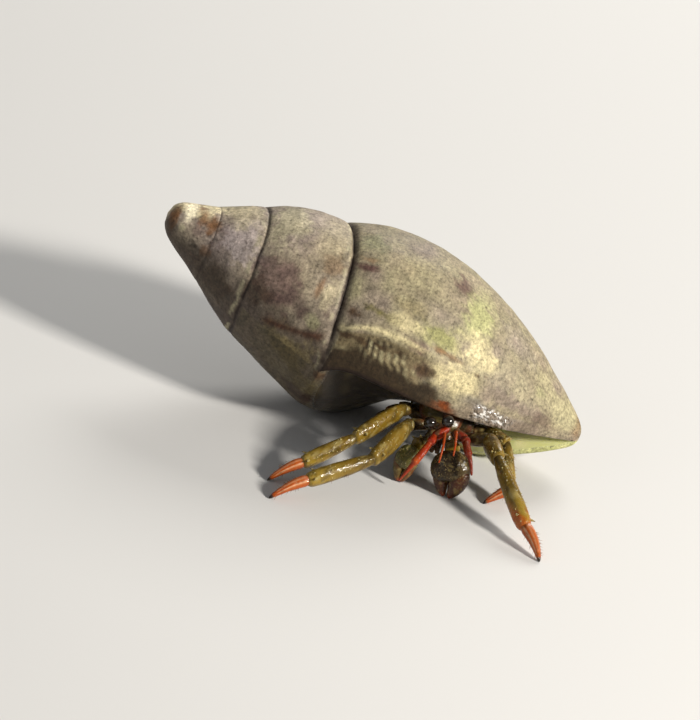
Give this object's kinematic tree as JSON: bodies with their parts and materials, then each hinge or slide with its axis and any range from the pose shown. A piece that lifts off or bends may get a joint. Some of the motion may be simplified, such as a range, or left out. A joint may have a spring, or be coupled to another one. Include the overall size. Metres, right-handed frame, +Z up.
{
  "type": "hermit crab",
  "caption": "Life-size hermit crab walking in a worn, pointed sea shell, with olive legs, orange striped toes, claws and red feelers reaching out from under the shell's lip",
  "frame": {"origin": "on the floor, at the middle of the whole object's footprint box", "axes": "+X runs along the shell from its pointed top to its open end, the crab faces -Y, +Z is up"},
  "size_m": [0.03, 0.0224, 0.0133],
  "materials": {
    "shell_surface": "worn, mottled grey-mauve and beige lime shell with brown blotches, a greenish tint and a cream edge, slightly wet",
    "limb": "wet olive-brown horny limb with orange-red toes that carry a pale stripe",
    "soft_body": "wet orange-brown soft skin",
    "feeler": "wet translucent red feelers",
    "cornea": "dark glossy eye"
  },
  "bodies": {
    "root": {"shell": "shell_surface", "carapace": "soft_body", "abdomen": "soft_body", "eyestalk_left": "limb", "eyestalk_right": "limb", "eye_left": "cornea", "eye_right": "cornea", "antenna_left": "feeler", "antenna_right": "feeler", "antennule_left": "feeler", "antennule_right": "feeler", "mouthparts": "limb", "cheliped_left_arm": "limb", "cheliped_left_hand": "limb", "cheliped_right_arm": "limb", "cheliped_right_hand": "limb", "leg_left_2_upper": "limb", "leg_left_2_lower": "limb", "leg_left_3_upper": "limb", "leg_left_3_lower": "limb", "leg_left_4": "limb", "leg_right_2_upper": "limb", "leg_right_2_lower": "limb", "leg_right_3_upper": "limb", "leg_right_3_lower": "limb", "leg_right_4": "limb"}
  },
  "joints": []
}
